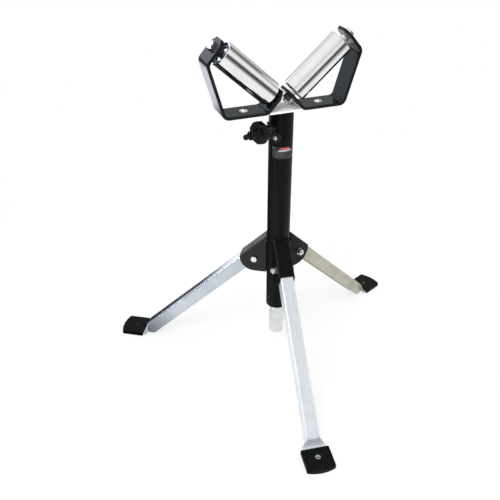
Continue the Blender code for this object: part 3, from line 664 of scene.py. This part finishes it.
def fasteners():
    """Bolts and nuts of the pivots and axles, with their threads, and the bearings."""
    tree, sockets = thread_tree(bolt_zinc)
    threads = {"base": [], "head": []}

    def threaded(body, start, radius, pitch):
        sizes = {"Root Radius": radius - thread_depth * pitch, "Pitch": pitch, "Turns": thread_turns,
                 "Ridge": 0.55 * pitch}
        threads[body].append((grown(tree, sockets, sizes), start))

    radius, pitch, flats, head = 3.0 * MM, 1.0 * MM, 10 * MM, 4.0 * MM
    for label in leg_bearings:
        place = pivot_place(label)
        start = hex_bolt("pivot_bolt_" + label, place, radius, flats, head, pitch, bolt_zinc)
        hex_nut("pivot_nut_" + label, place, radius, flats, bolt_zinc)
        threaded("base", start, radius, pitch)
    radius, pitch, flats, head = 4.0 * MM, 1.25 * MM, 13 * MM, 5.3 * MM
    for side in sides:
        place = axle_place(side)
        start = hex_bolt("axle_bolt_" + side, place, radius, flats, head, pitch, bolt_zinc)
        hex_nut("axle_nut_" + side, place, radius, flats, nut_steel)
        threaded("head", start, radius, pitch)
        for end in ("inner", "outer"):
            ball_bearing("bearing_%s_%s" % (side, end), place, bolt_zinc)
    for body, held in threads.items():
        new_piece("rolled_threads_" + body, joined(held), body, bolt_zinc)


def saddle_screws():
    """Pan heads with a cross recess, one each side of the lock."""
    recess_width, recess_reach, recess_depth = 0.42 * MM, 1.75 * MM, 0.9 * MM
    shank, head_radius, head = 1.8 * MM, 3.2 * MM, 2.2 * MM
    crown = ((3.2, 1.25), (3.05, 0.85), (2.6, 0.45), (2.05, 0.2), (1.85, 0.15), (1.7, 0.12), (1.4, 0.06),
             (1.1, 0.03), (0.8, 0.01), (0.55, 0.0), (0.3, 0.0))
    for tag, (down, around) in saddle_screw_places.items():
        node = "saddle_screw_" + tag
        place = (Matrix.Translation(mast_axis + Vector((0, 0, lock_height - down)))
                 @ Matrix.Rotation(lock_bearing + around / saddle_face, 4, "Z")
                 @ Matrix.Rotation(math.radians(90), 4, "Y"))
        low, high = span_along(node, place)
        stations = [circle(shank, low), circle(shank, high - head), circle(head_radius, high - head)]
        for radius, drop in crown:
            ring = []
            for x, y, z in circle(radius * MM, high - drop * MM):
                sunk = min(abs(x), abs(y)) < recess_width and max(abs(x), abs(y)) < recess_reach
                ring.append((x, y, z - (recess_depth if sunk else 0.0)))
            stations.append(ring)
        turned_copy(node, stations, place, bolt_zinc, 30)


def hub_welds():
    """Beads where each bracket meets the tube and sleeve, and round the mast under the head plate."""
    tree, sockets = weld_tree(column_coat)
    clear = 0.2 * MM
    low, high = bracket_bottom + 2 * MM, sleeve_top - MM
    side_reach = math.sqrt(sleeve_radius ** 2 - bracket_half_width ** 2) + clear
    paths = []
    for bearing in leg_bearings.values():
        place = bay_place(bearing)
        for side in (-1, 1):
            paths.append([place @ Vector((side_reach, side * (bracket_half_width + clear), z))
                          for z in (low, (low + high) / 2, high)])
        foot = Vector((pivot_radius + math.sin(leg_slope) * bracket_web_face, 0,
                       pivot_height + math.cos(leg_slope) * bracket_web_face))
        top = []
        for step in range(13):
            side = (step / 6 - 1) * 10 * MM
            reach = math.sqrt((tube_radius + clear) ** 2 - side ** 2)
            rise = foot.z + (foot.x - reach) * math.tan(leg_slope) - 0.3 * MM
            top.append(place @ Vector((reach, side, rise)))
        paths.append(top)
    beads = grown(tree, sockets, {"Bead": 1.0 * MM, "Ripple": 1.1 * MM}, lines(paths))
    new_piece("hub_welds", beads, "base", smooth_under=60)
    ring = [mast_axis + Vector(point) for point in circle(mast_radius + 0.3 * MM, head_height - 0.6 * MM)]
    beads = grown(tree, sockets, {"Bead": 0.6 * MM, "Ripple": 1.0 * MM}, lines([ring]))
    new_piece("mast_weld", beads, "head", smooth_under=60)


def nail_hole_glints():
    """Thin ring near the top of each boot's nail hole, a painted highlight: bright plated metal in the front
    boot for its bright arc, and dark steel in the others.
    """
    inner, outer = nail_hole_radius - 0.5 * MM, nail_hole_radius - 0.02 * MM
    low, high = 6.9 * MM, 8.2 * MM
    stations = [circle(inner, low), circle(outer, low), circle(outer, high), circle(inner, high)]
    for label, bearing in leg_bearings.items():
        mesh = ring_stack(stations, bay_place(bearing, nail_hole_reach), hollow=True)
        # Lit and shaded copies of one ring: bright for the front boot's painted highlight, dark for the others.
        finish = bolt_zinc if label == "front" else nut_steel
        new_piece("nail_hole_glint_" + label, mesh, "leg_" + label, finish, 30)


def column_label():
    """Thin plain label that bends round the column below the lock."""
    start, end = math.radians(205), math.radians(311)
    low, high = 391 * MM, 410.5 * MM
    columns, rows = 40, 4
    reach = tube_radius + 0.05 * MM
    bm = bmesh.new()
    sheet = bm.loops.layers.uv.new("label")
    grid = []
    for row in range(rows + 1):
        height = low + (high - low) * row / rows
        line = []
        for column in range(columns + 1):
            angle = start + (end - start) * column / columns
            point = Vector((reach * math.cos(angle), reach * math.sin(angle), height))
            line.append(bm.verts.new(mast_axis + point))
        grid.append(line)
    for row in range(rows):
        for column in range(columns):
            corners = ((row, column), (row, column + 1), (row + 1, column + 1), (row + 1, column))
            face = bm.faces.new([grid[r][c] for r, c in corners])
            for loop, (r, c) in zip(face.loops, corners):
                loop[sheet].uv = (c / columns, r / rows)
    mesh = bpy.data.meshes.new("column_label")
    bm.to_mesh(mesh)
    bm.free()
    piece = new_piece("column_label", mesh, "base", label_print, smooth_under=60)
    thicken = piece.modifiers.new("Thickness", "SOLIDIFY")
    thicken.thickness = 0.15 * MM
    thicken.offset = 1.0
    settle(piece)


# Stage

def polar_turn(azimuth, elevation, roll):
    """Camera axes as right, up and back for a view that looks along +Y at azimuth zero."""
    forward = Vector((-math.sin(azimuth) * math.cos(elevation), math.cos(azimuth) * math.cos(elevation),
                      -math.sin(elevation)))
    level = Vector((math.cos(azimuth), math.sin(azimuth), 0))
    upright = level.cross(forward)
    right = math.cos(roll) * level + math.sin(roll) * upright
    up = -math.sin(roll) * level + math.cos(roll) * upright
    return right, up, -forward


def photograph_camera():
    """The fitted view; its centre is off the frame's middle, so the lens is shifted."""
    data = bpy.data.cameras.new("photograph_camera")
    data.sensor_width = sensor_width
    data.lens = focal_pixels / frame_pixels * sensor_width
    data.shift_x = (frame_pixels / 2 - centre_pixel[0]) / frame_pixels
    data.shift_y = (centre_pixel[1] - frame_pixels / 2) / frame_pixels
    data.clip_start = 0.02
    data.clip_end = 30
    camera = bpy.data.objects.new("photograph_camera", data)
    bpy.context.scene.collection.objects.link(camera)
    right, up, back = polar_turn(view_azimuth, view_elevation, view_roll)
    eye = mast_axis + Vector((0, 0, aim_height)) + back * view_distance
    camera.matrix_world = Matrix((right, up, back)).transposed().to_4x4()
    camera.matrix_world.translation = eye
    bpy.context.scene.camera = camera


def soft_lamp(name, place, target, size, power):
    """Broad lamp that lights the stand but isn't mirrored in its rollers."""
    data = bpy.data.lights.new(name, "AREA")
    data.shape = "DISK"
    data.size = size
    data.energy = power
    lamp = bpy.data.objects.new(name, data)
    bpy.context.scene.collection.objects.link(lamp)
    lamp.location = place
    lamp.rotation_euler = (Vector(target) - Vector(place)).to_track_quat("-Z", "Y").to_euler()
    lamp.visible_glossy = False


class Studio(Tree):
    """Node tree of the world or the floor, which tells the kinds of rays apart."""

    def __init__(self, tree):
        super().__init__(tree)
        tree.nodes.clear()
        self.rays = self.node("ShaderNodeLightPath")

    def shades(self, value, start, end, stops):
        """Greys by a value: stops are (value, grey)."""
        scale = self.node("ShaderNodeMapRange")
        scale.inputs["From Min"].default_value = start
        scale.inputs["From Max"].default_value = end
        self.link(value, scale.inputs["Value"])
        ramp = self.node("ShaderNodeValToRGB")
        elements = ramp.color_ramp.elements
        while len(elements) < len(stops):
            elements.new(0.5)
        for element, (position, grey) in zip(elements, stops):
            element.position = (position - start) / (end - start)
            element.color = (grey, grey, grey, 1)
        self.link(scale.outputs["Result"], ramp.inputs["Fac"])
        return ramp.outputs["Color"]

    def toward(self, direction, azimuth, elevation, inner, outer):
        """One towards a heading, nothing outside it; azimuth runs from +Y to +X."""
        azimuth, elevation = math.radians(azimuth), math.radians(elevation)
        facing = self.node("ShaderNodeVectorMath", operation="DOT_PRODUCT")
        self.link(direction, facing.inputs[0])
        facing.inputs[1].default_value = (math.sin(azimuth) * math.cos(elevation),
                                          math.cos(azimuth) * math.cos(elevation), math.sin(elevation))
        low, high = math.cos(math.radians(outer)), math.cos(math.radians(inner))
        return self.shades(facing.outputs["Value"], low, high, [(low, 0.0), (high, 1.0)])


# Cards on the studio's walls, which only glossy surfaces see: azimuth and elevation, then the angles within
# which a card is full and beyond which it is gone, then its colour. The last draws the legs' bend lines.
studio_cards = (
    ((80, 18, 12, 27), (0.20, 0.20, 0.20)),
    ((24, 20, 8, 14), (0.60, 0.64, 0.65)),
    ((-34, 0, 6, 12), (1.10, 1.20, 1.36)),
    ((168, 54, 12, 22), (0.35, 0.35, 0.35)),
    ((-19, 13, 7, 13), (1.75, 1.80, 2.35)),
    ((-81, 18, 5, 9), (22.0, 22.0, 23.0)),
)


def white_world():
    """White to the camera; to everything else a soft studio with a dark far wall low down."""
    world = bpy.data.worlds.new("studio")
    world.use_nodes = True
    bpy.context.scene.world = world
    studio = Studio(world.node_tree)
    heading = studio.node("ShaderNodeTexCoord").outputs["Generated"]
    parts = studio.node("ShaderNodeSeparateXYZ")
    studio.link(heading, parts.inputs["Vector"])
    walls = studio.shades(parts.outputs["Z"], -1, 1, [
        (-1.0, 0.90), (-0.20, 0.30), (-0.08, 0.06), (0.03, 0.08), (0.09, 0.35), (0.15, 0.90), (0.22, 1.0),
        (0.36, 0.86), (0.47, 0.72), (0.56, 0.76), (0.68, 0.95), (0.80, 1.0)])
    for card, colour in studio_cards:
        walls = studio.mix(studio.toward(heading, *card), walls, colour)
    light = studio.mix(studio.rays.outputs["Is Glossy Ray"], (0.92, 0.92, 0.92), walls)
    room = studio.node("ShaderNodeBackground")
    studio.link(light, room.inputs["Color"])
    backdrop = studio.node("ShaderNodeBackground")
    backdrop.inputs["Color"].default_value = (1, 1, 1, 1)
    mix = studio.node("ShaderNodeMixShader")
    studio.link(studio.rays.outputs["Is Camera Ray"], mix.inputs["Fac"])
    studio.link(room.outputs["Background"], mix.inputs[1])
    studio.link(backdrop.outputs["Background"], mix.inputs[2])
    output = studio.node("ShaderNodeOutputWorld")
    studio.link(mix.outputs["Shader"], output.inputs["Surface"])


def pale_floor():
    """Pale sweep that takes a soft shadow and fades to the white backdrop; metal sees where it ends."""
    bm = bmesh.new()
    bmesh.ops.create_grid(bm, x_segments=1, y_segments=1, size=6)
    mesh = bpy.data.meshes.new("floor")
    bm.to_mesh(mesh)
    bm.free()
    floor = bpy.data.objects.new("floor", mesh)
    bpy.context.scene.collection.objects.link(floor)
    material = bpy.data.materials.new("floor_sweep")
    material.use_nodes = True
    studio = Studio(material.node_tree)
    place = studio.node("ShaderNodeTexCoord").outputs["Object"]

    def distance(centre):
        offset = studio.node("ShaderNodeVectorMath", operation="DISTANCE")
        studio.link(place, offset.inputs[0])
        offset.inputs[1].default_value = centre
        return offset.outputs["Value"]

    sweep = studio.shades(distance((0, -0.35, 0)), 0, 6, [
        (0.0, 1.0), (0.75, 1.0), (0.95, 0.88), (1.3, 0.55), (1.7, 0.36), (2.2, 0.23), (3.5, 0.12),
        (6.0, 0.07)])
    # To glossy rays only, the floor glows brighter than white in two patches and goes nearly black in a third
    # near the left leg: painted light and shade for the reflections in the arms and legs.
    lit = studio.shades(distance((-0.10, 1.70, 0)), 0, 1.2, [(0.60, 1.0), (0.90, 0.0)])
    sweep = studio.mix(lit, sweep, (1.70, 1.70, 1.76))
    pale = studio.shades(distance((-0.26, 1.24, 0)), 0, 1, [(0.24, 1.0), (0.40, 0.0)])
    sweep = studio.mix(pale, sweep, (2.10, 2.05, 2.35))
    shaded = studio.shades(distance((-0.235, 0.575, 0)), 0, 1, [(0.37, 1.0), (0.475, 0.0)])
    sweep = studio.mix(shaded, sweep, (0.02, 0.02, 0.03))
    glow = studio.node("ShaderNodeEmission")
    shown = studio.mix(studio.rays.outputs["Is Glossy Ray"], (1.0, 1.0, 1.0), sweep)
    studio.link(shown, glow.inputs["Color"])
    paper = studio.node("ShaderNodeBsdfDiffuse")
    paper.inputs["Color"].default_value = (0.92, 0.92, 0.92, 1)
    far = studio.shades(distance((0, 0, 0)), 0, 2, [(0.0, 0.72), (0.35, 0.76), (0.9, 1.0)])
    seen = studio.node("ShaderNodeMath", operation="MULTIPLY")
    studio.link(studio.rays.outputs["Is Camera Ray"], seen.inputs[0])
    studio.link(far, seen.inputs[1])
    share = studio.node("ShaderNodeMath", operation="MAXIMUM")
    studio.link(seen.outputs["Value"], share.inputs[0])
    studio.link(studio.rays.outputs["Is Glossy Ray"], share.inputs[1])
    mix = studio.node("ShaderNodeMixShader")
    studio.link(share.outputs["Value"], mix.inputs["Fac"])
    studio.link(paper.outputs["BSDF"], mix.inputs[1])
    studio.link(glow.outputs["Emission"], mix.inputs[2])
    output = studio.node("ShaderNodeOutputMaterial")
    studio.link(mix.outputs["Shader"], output.inputs["Surface"])
    mesh.materials.append(material)


finish_hidden_nodes()
dress_sheet_and_tube()
fasteners()
saddle_screws()
hub_welds()
nail_hole_glints()
column_label()
photograph_camera()
white_world()
pale_floor()
soft_lamp("key", (-1.1, -0.9, 1.9), (0, 0, 0.3), 1.0, 20)
soft_lamp("fill", (1.4, -0.9, 1.2), (0, 0, 0.3), 1.4, 5)
bpy.context.scene.view_settings.view_transform = "Standard"
